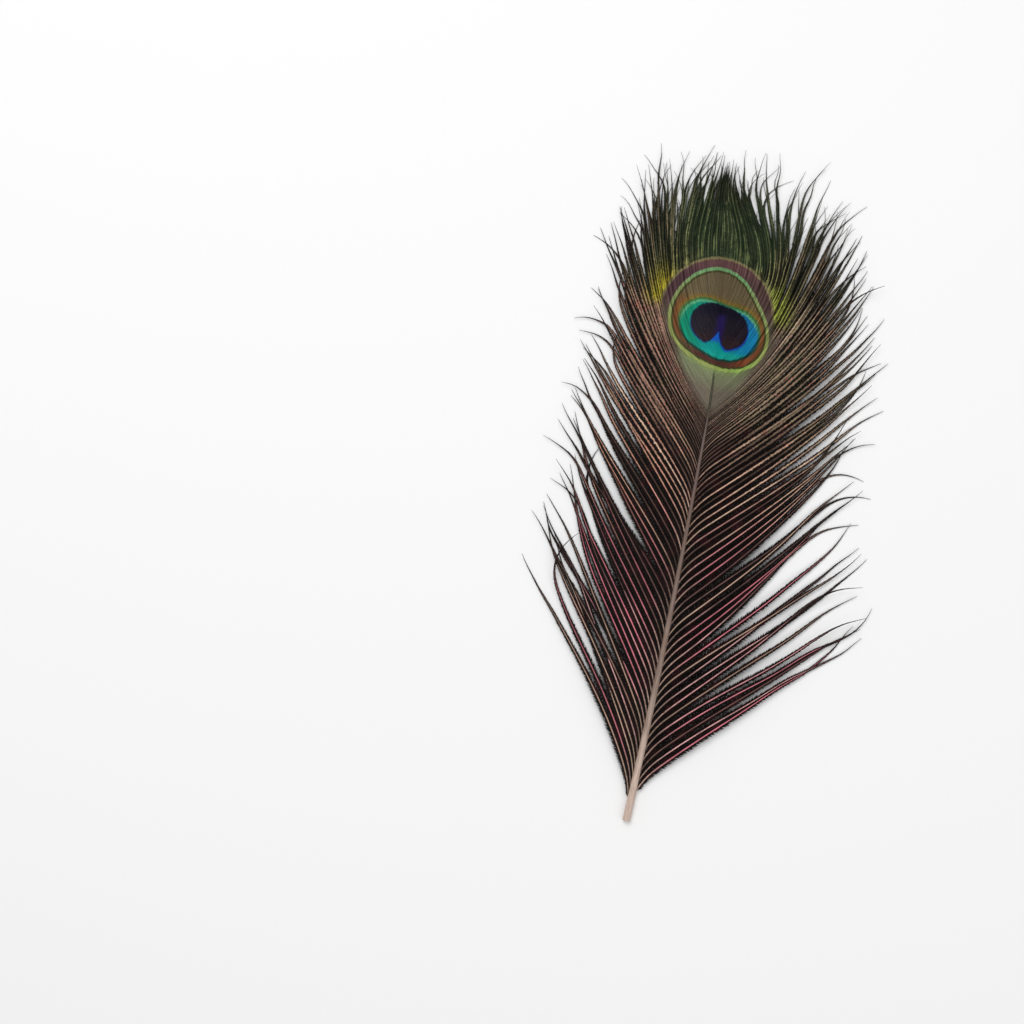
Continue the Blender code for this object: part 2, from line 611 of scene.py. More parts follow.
@dataclass(frozen=True)
class VaneField(Effect):
    """The colours of the barbs outside the eye: a light midline, and dark barbules that are partly painted
    shade.
    """

    name = "Vane field"
    takes = (("Place", VECTOR), ("Along", VALUE), ("Out", VALUE), ("Tint", VALUE))
    gives = (("Color", COLOUR),)

    def wire(self, graph: Graph, given: Node, out: Node) -> None:
        """Mixes the midline's colour with the barbules' colour and painted shade, by how far out a place
        is.

        Args:
            graph: The group's nodes.
            given: The node that holds the group's inputs.
            out: The node that holds its outputs.
        """
        calc, step, mix, times, coats = graph.math, graph.step, graph.mix, graph.times, graph.coats
        place, along, tint = given.outputs["Place"], given.outputs["Along"], given.outputs["Tint"]
        x, y = graph.split(place)
        arm = graph.vector("MULTIPLY", graph.vector("SUBTRACT", place, (*EYE_CENTRE, 0.0)), (1, 1, 0))
        aside, ahead = graph.split(graph.vector("NORMALIZE", arm))
        beyond = calc("SUBTRACT", graph.vector("LENGTH", arm), EYE_RADIUS)
        patchy, flecks = graph.noise(place, 0.07), graph.noise(place, 0.3, 3.0)

        # The midline of the lower barbs: tan at the shaft, then rose, with some tan or brown all along.
        plain = mix(step(tint, 0.68, 1.0), (88, 66, 56), (160, 138, 118))
        lower = coats(
            (176, 148, 134),
            (step(along, 0.02, 0.22), mix(step(tint, 0.1, 0.55), (238, 182, 178), (202, 116, 128))),
            (step(tint, 0.62, 0.72, 0.0, 0.9), plain),
        )
        # The midline higher up: greyish tan, with red and green flecks, and a painted cream highlight
        # along a few barbs.
        warm = coats(
            mix(step(x, -20, 16), (152, 118, 102), (140, 120, 100)),
            (step(y, 190, 150), mix(step(x, -20, 10), (190, 142, 120), (196, 158, 138))),
            (step(flecks, 0.54, 0.68, 0.0, 0.5), (166, 98, 84)),
            (step(flecks, 0.46, 0.34, 0.0, 0.45), (134, 122, 84)),
            # Painted highlight: a few barbs get a cream midline.
            (step(tint, 0.8, 0.9, 0.0, 0.55), (196, 172, 150)),
        )
        # Painted shade: some barbs are dark all along, as barbs that lie in shade, and all are darkened
        # where they leave the upper shaft, in the shade beside it.
        shaded_barb = times(step(tint, 0.54, 0.42), step(y, 196, 168, 0.0, 0.85))
        stem_shade = times(step(along, 0.2, 0.03), step(y, 140, 165, 0.0, 0.65))
        crown = coats(
            mix(step(beyond, 3, 22), (122, 120, 76), (124, 106, 84)),
            (step(ahead, 0.72, 0.94, 0.0, 0.8), (86, 98, 62)),
            (step(tint, 0.55, 0.35, 0.0, 0.8), (44, 52, 34)),
            (step(flecks, 0.48, 0.36, 0.0, 0.6), (30, 36, 24)),
        )
        # Painted gold glints lie on both sides of the eye, on the midlines and on the barbules.
        gold_glint_arc = times(step(calc("ABSOLUTE", aside), 0.74, 0.94), step(ahead, -0.12, 0.15))
        gold_glint = times(gold_glint_arc, step(beyond, 12, 2))
        light = coats(
            lower,
            (step(y, 112, 160), warm),
            (times(shaded_barb, step(y, 84, 108)), (62, 44, 38)),
            (stem_shade, (86, 68, 60)),
            (times(step(y, 228, 246), step(beyond, 55, 20)), crown),
            (gold_glint, mix(step(x, -10, 10), (160, 148, 46), (150, 160, 66))),
            (step(along, 0.72, 0.97), (40, 34, 28)),
        )

        # The barbules: their own dark brown, painted near black as the shade between the barbs, with hints
        # of red low down and of green above, and the gold glints.
        dark = coats(
            (15, 9, 7),
            (step(graph.noise(place, 0.16), 0.5, 0.68), (36, 14, 16)),
            (times(times(step(patchy, 0.42, 0.62), step(y, 150, 240)), 0.75), (22, 30, 17)),
            (times(gold_glint, 0.8), (60, 58, 18)),
            (times(step(beyond, 60, 18), step(ahead, 0.6, 0.95)), (36, 50, 32)),
        )

        # How far out the midline's colour reaches, with a ragged edge; farther out the barbules take the
        # painted shade.
        reach = calc("SUBTRACT", step(y, 140, 190, 0.03, 0.2), step(y, 225, 250, 0.0, 0.06))
        # Near the upper stem the midline is narrowed, part of the painted shade beside the stem.
        reach = calc("SUBTRACT", reach, times(step(along, 0.3, 0.05), step(y, 215, 190, 0.0, 0.1)))
        rough = calc("SUBTRACT", graph.noise(place, 1.1), 0.5)
        edge = calc("ADD", reach, times(rough, step(y, 120, 180, 0.2, 0.7)))
        shade = step(calc("SUBTRACT", given.outputs["Out"], edge), 0.0, 0.22)
        graph.feed(out.inputs["Color"], mix(shade, light, dark))


@dataclass(frozen=True)
class Finish:
    """What every finish has: a name, a roughness, a specular level, and a bump."""

    label: str
    rough: float
    specular: float
    bump_strength: float
    bump_depth: float

    def material(self, plan: Plan) -> bpy.types.Material:
        """Makes the material.

        Args:
            plan: Where the feather's plan lies, because patterns are painted by place.

        Returns:
            The material.
        """
        made = bpy.data.materials.new(self.label)
        made.use_nodes = True
        graph = Graph(made.node_tree)
        shader = made.node_tree.nodes["Principled BSDF"]
        shader.inputs["Specular IOR Level"].default_value = self.specular
        bump = graph.node("ShaderNodeBump")
        bump.inputs["Strength"].default_value = self.bump_strength
        bump.inputs["Distance"].default_value = self.bump_depth
        graph.feed(bump.inputs["Height"], self.dress(graph, shader, plan))
        graph.feed(shader.inputs["Normal"], bump.outputs["Normal"])
        return made

    def dress(self, graph: Graph, shader: Node, plan: Plan) -> Socket:
        """Joins the finish's own colour and roughness to the shader, and gives the bump's height."""
        raise NotImplementedError


@dataclass(frozen=True)
class Plumage(Finish):
    """The finish of the barbs."""

    label: str = "plumage"
    rough: float = 0.5
    specular: float = 0.13
    bump_strength: float = 0.25
    bump_depth: float = 0.00015
    eye_rough: float = 0.34
    eye_metallic: float = 0.25

    def dress(self, graph: Graph, shader: Node, plan: Plan) -> Socket:
        """Paints the eye where the barbs hook together, and the vane's colours elsewhere.

        Args:
            graph: The material's nodes.
            shader: Its shader.
            plan: Where the feather's plan lies.

        Returns:
            The height of the bump.
        """
        place = graph.place(plan)
        along, out, tint, web = (
            graph.node("ShaderNodeAttribute", attribute_name=name).outputs["Fac"]
            for name in ("along", "out", "tint", "web")
        )
        eye = EyeSpot().placed(graph, Place=place, Tint=tint)
        vane = VaneField().placed(graph, Place=place, Along=along, Out=out, Tint=tint)
        _, y = graph.split(place)
        in_band = graph.times(web, eye.outputs["Band"])
        in_wedge = graph.times(web, graph.step(y, 230, 222))
        closed = graph.math("MAXIMUM", graph.math("MAXIMUM", eye.outputs["Inside"], in_band), in_wedge)
        strength = graph.step(closed, 0.0, 1.0, 1.1, 0.34)
        grain = StrandGrain().placed(graph, Place=place, Along=along, Tint=tint, Strength=strength)
        # Inside the eye the outer parts of the barbules darken toward near black: painted shade in the
        # fine gaps between the hooked barbs.
        hooked = graph.mix(graph.step(out, 0.35, 0.95, 0.0, 0.3), eye.outputs["Color"], (14, 12, 12))
        bright = graph.node("ShaderNodeCombineXYZ", *[grain.outputs["Brightness"]] * 3)
        colour = graph.mix(closed, vane.outputs["Color"], hooked)
        graph.feed(shader.inputs["Base Color"], graph.mix(1.0, colour, bright.outputs[0], "MULTIPLY"))
        graph.feed(shader.inputs["Roughness"], graph.step(closed, 0.0, 1.0, self.rough, self.eye_rough))
        graph.feed(shader.inputs["Metallic"], graph.step(closed, 0.0, 1.0, 0.0, self.eye_metallic))
        return grain.outputs["Speckle"]


@dataclass(frozen=True)
class Keratin(Finish):
    """The finish of the rachis: tan and faintly streaked, darker and olive toward the eye."""

    label: str = "keratin"
    rough: float = 0.42
    specular: float = 0.35
    bump_strength: float = 0.4
    bump_depth: float = 0.0002

    def dress(self, graph: Graph, shader: Node, plan: Plan) -> Socket:
        """Darkens the stem along its length and streaks it.

        Args:
            graph: The material's nodes.
            shader: Its shader.
            plan: Where the feather's plan lies.

        Returns:
            The height of the bump.
        """
        place = graph.place(plan)
        step = graph.step
        _, y = graph.split(place)
        streaks = graph.noise(graph.vector("MULTIPLY", place, (5.0, 0.12, 5.0)), 1.0, 4.0)
        patches = graph.noise(graph.vector("MULTIPLY", place, (1.0, 0.2, 1.0)), 0.5, 3.0)
        pale = graph.times(step(streaks, 0.42, 0.66, 0.0, 0.4), step(y, 150, 20))
        colour = graph.coats(
            (204, 180, 166),
            (step(y, 14, 74), (124, 103, 93)),
            (step(y, 70, 150), (100, 83, 78)),
            (step(patches, 0.45, 0.7, 0.0, 0.45), (120, 92, 74)),
            (pale, (206, 186, 168)),
            (step(streaks, 0.5, 0.3, 0.0, 0.5), (96, 74, 62)),
            (step(y, 172, 190, 0.0, 0.95), (50, 52, 34)),
        )
        graph.feed(shader.inputs["Base Color"], colour)
        roughness = step(streaks, 0.3, 0.7, self.rough - 0.06, self.rough + 0.12)
        graph.feed(shader.inputs["Roughness"], roughness)
        return streaks


@dataclass(frozen=True)
class Pith(Finish):
    """The finish of the rachis's spongy core, which shows at the cut end."""

    label: str = "pith"
    rough: float = 0.85
    specular: float = 0.5
    bump_strength: float = 0.5
    bump_depth: float = 0.0001
    cell_scale: float = 3500.0

    def dress(self, graph: Graph, shader: Node, plan: Plan) -> Socket:
        """Mottles the core with its cells.

        Args:
            graph: The material's nodes.
            shader: Its shader.
            plan: Where the feather's plan lies; not used here.

        Returns:
            The height of the bump.
        """
        cells = graph.noise(graph.node("ShaderNodeTexCoord").outputs["Object"], self.cell_scale)
        colour = graph.mix(graph.step(cells, 0.35, 0.65), (206, 190, 166), (240, 232, 214))
        graph.feed(shader.inputs["Base Color"], colour)
        shader.inputs["Roughness"].default_value = self.rough
        return cells


def alone(piece: bpy.types.Object) -> None:
    """Selects one object and nothing else, and makes it active.

    Args:
        piece: The object.
    """
    bpy.ops.object.select_all(action="DESELECT")
    piece.select_set(True)
    bpy.context.view_layer.objects.active = piece


@dataclass(frozen=True)
class Templates:
    """The two shapes that are copied all along the barbs, each modelled once."""

    section: np.ndarray
    barbule: np.ndarray
    barbule_faces: np.ndarray

    @classmethod
    def model(cls) -> "Templates":
        """Models a strand's cross-section and one barbule, and keeps their shapes.

        Returns:
            The section as (across, up) and the barbule as (along itself, across, up), both of size 1.
        """
        bpy.ops.object.select_all(action="DESELECT")
        bpy.ops.mesh.primitive_circle_add(vertices=4, radius=1.0)
        ring = bpy.context.object
        section = np.array([v.co[:2] for v in ring.data.vertices], float)
        section = section[np.argsort(np.arctan2(section[:, 1], section[:, 0]))]
        bpy.data.objects.remove(ring)

        bpy.ops.mesh.primitive_cone_add(vertices=3, radius1=1.0, depth=1.0)
        blade = bpy.context.object
        bpy.ops.object.mode_set(mode="EDIT")
        bpy.ops.mesh.select_all(action="SELECT")
        bpy.ops.transform.translate(value=(0, 0, 0.5))
        bpy.ops.object.mode_set(mode="OBJECT")
        spots = np.array([v.co for v in blade.data.vertices], float)
        faces = np.array([list(f.vertices) for f in blade.data.polygons])
        # The cone's height becomes the barbule's length, and one base corner its ridge.
        laid = np.column_stack([spots[:, 2], spots[:, 0], spots[:, 1]])
        ridge = int(np.argmax(laid[:, 2]))
        laid[:, 1] /= np.abs(laid[:, 1]).max()
        laid[:, 2] = 0
        laid[ridge] = (0.22, 0.0, 1.0)
        bpy.data.objects.remove(blade)
        return cls(section, laid, faces)


# Stretches of the shaft, in millimetres from the cut end, over which the barbs that grow there
# change smoothly.
WILDER = (130, 90)  # they stray more
ROOTS_BEND = (182, 168)  # they leave the stem at a smaller angle
NEAR_STEM = (176, 186)  # their roots move toward the stem's middle
HELD_EVEN = (176, 184)  # they are held even round the eye
HOOK_TOGETHER = (180, 189)  # they hook to their neighbours
LENGTHS_VARY = (184, 197)  # their lengths vary more
DRAWN_IN = (192, 205)  # they are drawn together above the eye
OVER_STEM = (199, 206)  # they grow from the top of the stem


class Lie(NamedTuple):
    """How a family's barbs lie, with a row for each barb and a column for each spot along it.

    spots are in the plan, heading is in radians, web is 1 where barbs hook together, and gap is
    the distance to the next barb.
    """

    spots: np.ndarray
    heading: np.ndarray
    web: np.ndarray
    gap: np.ndarray

    @property
    def share(self) -> np.ndarray:
        """How far along its barb each column of spots is, from 0 to 1."""
        return np.linspace(0, 1, self.heading.shape[1])

    @property
    def strip(self) -> np.ndarray:
        """The middle of each barb's strip in the piece's map."""
        count = len(self.heading)
        return (np.arange(count) + 0.5) / count


class Shell(NamedTuple):
    """Faces of one kind, and what the finish and the map read at each of their corners."""

    points: np.ndarray
    faces: np.ndarray
    along: np.ndarray
    out: np.ndarray
    tint: np.ndarray
    web: np.ndarray
    spread: np.ndarray


@dataclass
class BarbFamily:
    """Barbs that grow from one stretch of one side of the rachis, joined as one piece.

    Lengths are in millimetres and angles in degrees.
    """

    name: str
    side: Side
    first: float
    last: float
    pitch: Pairs
    barbule_pitch: float
    barbule_length: Pairs
    strand_width: Pairs
    stray: float = 1.0
    barbule_breadth: float = 1.15
    tip_ripple: float = 3.0
    clump: float = 0.6
    curled: float = 0.45
    curl_most: float = 72.0
    root_bend: float = 0.0
    length_spread: float = 0.05
    stations: int = 40
    sweep: float = 47.0
    lowest_barb: float = 0.45
    lowest_corner: float = 0.03
    widest_gap: float = 9.0
    neighbours: int = 8

    def roots(self, chance: Draws) -> np.ndarray:
        """Works out where the barbs leave the rachis.

        Args:
            chance: Where the small differences come from.

        Returns:
            The places along the shaft.
        """
        found, at = [], self.first
        while at < self.last:
            found.append(at)
            gap = float(through(self.pitch, np.array(at)))
            at += gap * (1 + 0.09 * float(chance.uniform(-1, 1)) * min(1.0, gap / 3))
        return np.array(found)

    def lie(self, course: Course, chance: Draws) -> Lie:
        """Follows every barb from its root to its tip.

        Args:
            course: The rachis.
            chance: Where the small differences come from.

        Returns:
            How the barbs lie.
        """
        side, roots = self.side.value, self.roots(chance)
        table = np.array(BARB_TABLES[self.side], float)
        length, *angles = (through(table[:, (0, k)], roots) for k in (1, 2, 3, 4))
        count = len(roots)
        spread = 0.05 + (self.length_spread - 0.05) * ease(roots, *LENGTHS_VARY)
        length = length * (1 + spread * (chance.uniform(-1, 1, count) - 0.9 * chance.random(count) ** 3))
        share = np.linspace(0, 1, self.stations)
        # A quadratic through the three angles of the table.
        shapes = (2 * share * share - 3 * share + 1, 4 * share * (1 - share), share * (2 * share - 1))
        turned = sum(np.outer(angle, shape) for angle, shape in zip(angles, shapes))
        turned -= self.root_bend * column(ease(roots, *ROOTS_BEND)) * ease(share, 0.12, 0.0)
        strays, ripple = self.strays(roots, share, chance)

        over = ease(roots, *OVER_STEM)
        width = through(course.width, roots)
        inset = 0.42 - 0.14 * ease(roots, *NEAR_STEM)
        x = through(course.sideways, roots) + side * (width * inset * (1 - over) - 0.3 * over)
        first = column(course.heading(roots))
        spots = self.follow(first + side * np.radians(turned), x, roots, length)
        inside = 1 - ease(self.beyond(spots), 0.0, 14.0) * ease(spots[:, :, 1], 219, 229)
        held = column(ease(roots, *HELD_EVEN)) * inside
        calm = 1 - 0.4 * column(ease(roots, 135, 178)) * (1 - column(ease(roots, 183, 190)))
        turned = turned + (self.stray * strays * calm + ripple) * (1 - held)
        spots = self.combed(self.follow(first + side * np.radians(turned), x, roots, length), roots)
        run = np.gradient(spots, axis=1)
        heading = np.arctan2(run[:, :, 0], run[:, :, 1])

        tuft = 11.0 * np.exp(-(((spots[:, :, 0] + 6) / 10) ** 2))
        web = 1 - ease(self.beyond(spots), 0.0, 2.2 + tuft) * ease(spots[:, :, 1], 219, 225)
        web *= column(ease(roots, *HOOK_TOGETHER))
        root_height = through(course.height, roots) + (0.1 + 0.4 * over) * width + 0.22 * over
        spots[:, :, 2] = self.heights(root_height, share, web, chance)
        return Lie(spots, heading, web, self.spacing(spots, heading))

    def strays(
        self, roots: np.ndarray, share: np.ndarray, chance: Draws
    ) -> tuple[np.ndarray, np.ndarray]:
        """Draws how each barb strays from its even course.

        Args:
            roots: The barbs' roots.
            share: How far along its barb each spot is.
            chance: Where the differences come from.

        Returns:
            The slow bends with the curled tips, and the fine ripple, in degrees.
        """
        count = len(roots)
        low = ease(roots, *WILDER)
        strays = column(1.3 + 1.6 * low) * chance.normal(0, 1, (count, 1)) * ease(share, 0.0, 0.5)
        free = ease(share, 0.35, 1.0)
        for waves, strength in ((1.2, 3.4), (2.6, 2.6)):
            wave = np.sin(FULL_TURN * waves * share + FULL_TURN * self.shared(chance, count))
            strays = strays + strength * column(1 + 0.5 * low) * wave * free * self.shared(chance, count)
        curl = chance.normal(self.side.value * 16, 46, (count, 1))
        curl = np.clip(curl, -self.curl_most, self.curl_most)
        curl = np.where(chance.random((count, 1)) < self.curled, curl, 0)
        strays += (8 + 9 * self.shared(chance, count) + curl) * ease(share, 0.74, 1.02)
        ripple = np.sin(FULL_TURN * 6.5 * share + chance.uniform(0, FULL_TURN, (count, 1)))
        ripple = self.tip_ripple * ripple * ease(share, 0.6, 1.0) * chance.normal(0, 1, (count, 1))
        return strays, ripple

    def heights(
        self, root: np.ndarray, share: np.ndarray, web: np.ndarray, chance: Draws
    ) -> np.ndarray:
        """Works out how high the barbs lie, from the stem down to the floor.

        Args:
            root: The height at each barb's root.
            share: How far along its barb each spot is.
            web: How closely the barbs hook together at each spot.
            chance: Where the small differences come from.

        Returns:
            The height of each spot.
        """
        one = (len(root), 1)
        rest = 0.55 + 0.25 * self.stray
        arch = np.sin(math.pi * np.clip(share / 0.85, 0, 1))
        bulge = (0.9 + self.stray * (1.0 + 1.5 * chance.random(one))) * arch
        lift = chance.random(one) ** 3 * 5.5 * self.stray * ease(share, 0.6, 1.0)
        high = rest + (column(root) - rest) * (1 - ease(share, 0.0, 0.6)) + bulge * (1 - 0.6 * web) + lift
        high += (1 - web) * 0.3 * chance.uniform(-1, 1, one) * ease(share, 0.2, 0.5)
        return np.maximum(high, self.lowest_barb)

    def beyond(self, spots: np.ndarray) -> np.ndarray:
        """Measures how far outside the eye's edge each spot is."""
        x, y = EYE_CENTRE
        return np.hypot(spots[:, :, 0] - x, spots[:, :, 1] - y) - EYE_RADIUS

    def follow(
        self, heading: np.ndarray, x: np.ndarray, roots: np.ndarray, length: np.ndarray
    ) -> np.ndarray:
        """Steps along every barb from its root.

        Args:
            heading: The direction at each spot.
            x: The roots' places across the feather.
            roots: Their places along it.
            length: The barbs' lengths.

        Returns:
            The spots, all at height 0.
        """
        middle = (heading[:, 1:] + heading[:, :-1]) / 2
        piece = column(length / middle.shape[1])
        spots = np.zeros((*heading.shape, 3))
        spots[:, :, 0] = column(x)
        spots[:, :, 1] = column(roots)
        spots[:, 1:, 0] += np.cumsum(np.sin(middle) * piece, 1)
        spots[:, 1:, 1] += np.cumsum(np.cos(middle) * piece, 1)
        return spots

    def combed(self, spots: np.ndarray, roots: np.ndarray) -> np.ndarray:
        """Draws the barbs above the eye together into a tuft, as a comb would.

        Args:
            spots: The spots along each barb.
            roots: The barbs' roots.

        Returns:
            The spots after combing.
        """
        x, y = spots[:, :, 0], spots[:, :, 1]
        middle = -5.2 - 6.4 * ease(y, 250, 287)
        right = ease(x, 40, 2) * ease(y, 244, 292)
        left = ease(x, -36, -14) * ease(y, 256, 298)
        pull = 0.7 * np.where(x > middle, right, left) * column(ease(roots, *DRAWN_IN))
        combed = spots.copy()
        combed[:, :, 0] = x + (middle - x) * pull
        return combed

    def shared(self, chance: Draws, count: int) -> np.ndarray:
        """Draws a number for each barb, partly shared with its neighbours.

        Args:
            chance: Where the numbers come from.
            count: How many barbs there are.

        Returns:
            One column of numbers, mostly from -1.5 to 1.5.
        """
        reach = np.arange(-self.neighbours, self.neighbours + 1)
        weight = np.exp(-((reach / max(self.clump, 0.1)) ** 2))
        weight = weight / np.sqrt((weight**2).sum())
        drawn = np.convolve(chance.normal(0, 1, count + 2 * self.neighbours), weight, mode="valid")
        return column(0.85 * drawn + 0.3 * chance.normal(0, 1, count))

    def spacing(self, spots: np.ndarray, heading: np.ndarray) -> np.ndarray:
        """Measures how far apart neighbouring barbs run.

        Args:
            spots: The spots along each barb.
            heading: The direction at each.

        Returns:
            The spacing at each spot, in millimetres.
        """
        count = len(spots)
        gaps = np.full((2, *heading.shape), self.widest_gap)
        for b in range(count):
            for which, other in ((0, b - 1), (1, b + 1)):
                if 0 <= other < count:
                    apart = spots[b][:, None, :2] - spots[other][None, :, :2]
                    nearest = np.argmin((apart**2).sum(2), axis=1)
                    arm = apart[np.arange(len(nearest)), nearest]
                    aside = arm[:, 0] * np.cos(heading[b]) - arm[:, 1] * np.sin(heading[b])
                    gaps[which, b] = np.abs(aside)
        # A barb at the edge of the family has a neighbour on one side only.
        one_sided = gaps.max(0) > self.widest_gap - 0.1
        return np.clip(np.where(one_sided, gaps.min(0), gaps.mean(0)), 0.12, self.widest_gap)

    def strands(self, lie: Lie, tint: np.ndarray, section: np.ndarray) -> Shell:
        """Sweeps the cross-section along every barb, and closes both ends.

        Args:
            lie: How the barbs lie.
            tint: Each barb's tint.
            section: The cross-section.

        Returns:
            The strands, the end caps last.
        """
        (count, steps), corners = lie.heading.shape, len(section)
        web, share = lie.web, lie.share
        strand = np.minimum(through(self.strand_width, share), 0.16 + 0.34 * lie.gap)
        width = strand + web * np.maximum(0, 1.3 * np.minimum(lie.gap, 1.6) - strand)
        width *= ease(share, 1.02, 0.93) * 0.9 + 0.1
        tall = 0.8 * strand * (1 - web) + 0.26 * web
        across = np.stack([np.cos(lie.heading), -np.sin(lie.heading), np.zeros_like(lie.heading)], 2)
        half = (width / 2)[:, :, None, None]
        ring = lie.spots[:, :, None, :] + half * section[:, 0, None] * across[:, :, None, :]
        ring[..., 2] += (tall / 2)[:, :, None] * section[:, 1]

        index = np.arange(count * steps * corners).reshape(count, steps, corners)
        ahead = np.roll(index, -1, axis=2)
        quads = np.stack([index[:, :-1], index[:, 1:], ahead[:, 1:], ahead[:, :-1]], 3).reshape(-1, 4)
        quads = np.concatenate([quads, index[:, 0, :], index[:, -1, ::-1]])[:, ::-1]

        shape = (count, steps, corners)
        # A strand's side corners get a higher 'out' where barbs hook together, so the finish paints shade
        # along their edges.
        edge = np.where(np.abs(section[:, 0]) > 0.5, 1.0, 0.0)
        spread = np.zeros((*shape, 2))
        spread[..., 0] = (0.01 + 0.98 * share)[None, :, None]
        spread[..., 1] = lie.strip[:, None, None] + 0.1 / count * section[:, 0]
        return Shell(
            ring.reshape(-1, 3), quads, np.broadcast_to(share[None, :, None], shape).ravel(),
            (edge * (0.02 + 0.26 * web)[:, :, None]).ravel(), np.repeat(tint, steps * corners),
            np.repeat(web.ravel(), corners), spread.reshape(-1, 2),
        )

    def barbules(self, lie: Lie, tint: np.ndarray, shapes: Templates, chance: Draws) -> Shell:
        """Copies the barbule along both sides of every barb.

        Args:
            lie: How the barbs lie.
            tint: Each barb's tint.
            shapes: The barbule that is copied.
            chance: Where the small differences come from.

        Returns:
            The barbules, with faces that count from their own first corner.
        """
        count, steps = lie.heading.shape
        reach = np.linalg.norm(np.diff(lie.spots, axis=1), axis=2).sum(1)
        numbers = (reach / self.barbule_pitch).astype(int)
        share = np.concatenate([0.004 + 0.993 * ((np.arange(n) + 0.5) / n) for n in numbers])
        barb = np.tile(np.repeat(np.arange(count), numbers), 2)
        hand = np.repeat([-1.0, 1.0], len(share))
        share = np.tile(share, 2)
        at = share * (steps - 1)
        i = np.clip(at.astype(int), 0, steps - 2)

        def read(values: np.ndarray) -> np.ndarray:
            """Reads values given at the barbs' spots at each barbule's own place."""
            weight = (at - i).reshape(-1, *[1] * (values.ndim - 2))
            return values[barb, i] * (1 - weight) + values[barb, i + 1] * weight

        middle, facing, hooked, apart = (read(v) for v in (lie.spots, lie.heading, lie.web, lie.gap))
        sweep = np.radians(self.sweep + 6 * chance.uniform(-1, 1, len(share)) - 6 * ease(share, 0.6, 1))
        turned = facing + hand * sweep
        length = through(self.barbule_length, share) * (1 + 0.14 * chance.uniform(-1, 1, len(share)))
        # Near the stem, where barbs crowd, a barbule stops short of the next barb and doesn't hide it.
        length = np.minimum(length, 0.15 + 1.4 * apart + 3.0 * ease(share, 0.3, 0.6))
        hooked_length = np.clip(1.05 * apart / math.sin(math.radians(self.sweep)), 0.3, 1.3)
        length = length * (1 - hooked) + hooked_length * hooked
        forward = np.stack([np.sin(turned), np.cos(turned), np.zeros_like(turned)], 1)
        beside = np.stack([np.sin(facing), np.cos(facing), np.zeros_like(facing)], 1)

        laid = shapes.barbule
        ridge = 0.07 + 0.03 * (1 - hooked)
        droop = (0.30 * (1 - hooked) + 0.08 * hooked) * length
        half_base = self.barbule_breadth * self.barbule_pitch
        blades = (
            middle[:, None, :]
            + (laid[:, 0] * column(length))[:, :, None] * forward[:, None, :]
            + (laid[:, 1] * half_base)[None, :, None] * beside[:, None, :]
        )
        rise = laid[:, 2] * column(ridge) + 0.1 * column(hooked)
        blades[:, :, 2] += rise - laid[:, 0] ** 2 * column(droop)
        spread = np.zeros((len(share), len(laid), 2))
        step = column(0.98 * self.barbule_pitch / reach[barb])
        run = 0.01 + 0.98 * column(share) + step * (0.6 * laid[:, 1] + 1.5 * laid[:, 0])
        spread[:, :, 0] = np.clip(run, 0, 1)
        spread[:, :, 1] = column(lie.strip[barb]) + column(hand) * (0.04 + 0.42 * laid[:, 0]) / count

        # On one side of a barb the barbule is a mirror image, so two of its corners change places
        # and its faces still point out.
        same = np.arange(len(laid))
        mirrored = same.copy()
        swapped = [np.argmin(laid[:, 1]), np.argmax(laid[:, 1])]
        mirrored[swapped] = swapped[::-1]
        order = np.where(column(hand) > 0, mirrored, same)
        rows = column(np.arange(len(share)))
        faces = len(laid) * np.arange(len(share))[:, None, None] + shapes.barbule_faces
        # A barbule's 'out' rises from root to tip; the finish paints its outer part dark, partly as
        # painted shade.
        return Shell(
            blades[rows, order].reshape(-1, 3), faces.reshape(-1, 3),
            np.repeat(share, len(laid)), np.tile(0.1 + 0.9 * laid[:, 0], len(share)),
            np.repeat(tint[barb], len(laid)), np.repeat(hooked, len(laid)),
            spread[rows, order].reshape(-1, 2),
        )

    def build(
        self, plan: Plan, course: Course, shapes: Templates, finish: bpy.types.Material
    ) -> bpy.types.Object:
        """Makes the family as one joined mesh of strands and barbules.

        Args:
            plan: Where the feather's plan lies.
            course: The rachis.
            shapes: The section and the barbule that are copied.
            finish: The barbs' material.

        Returns:
            The piece.
        """
        chance = np.random.default_rng(SEED + sum(map(ord, self.name)))
        lie = self.lie(course, chance)
        count = len(lie.heading)
        tint = chance.random(count)
        strands = self.strands(lie, tint, shapes.section)
        barbules = self.barbules(lie, tint, shapes, chance)
        for shell in (strands, barbules):
            shell.points[:, 2] = np.maximum(shell.points[:, 2], self.lowest_corner)
        piece = joined(self.name, plan, strands, barbules, count)
        piece.data.materials.append(finish)
        triangles = 2 * len(strands.faces) + len(barbules.faces)
        log.info("%s: %d barbs, %d triangles", self.name, count, triangles)
        return piece


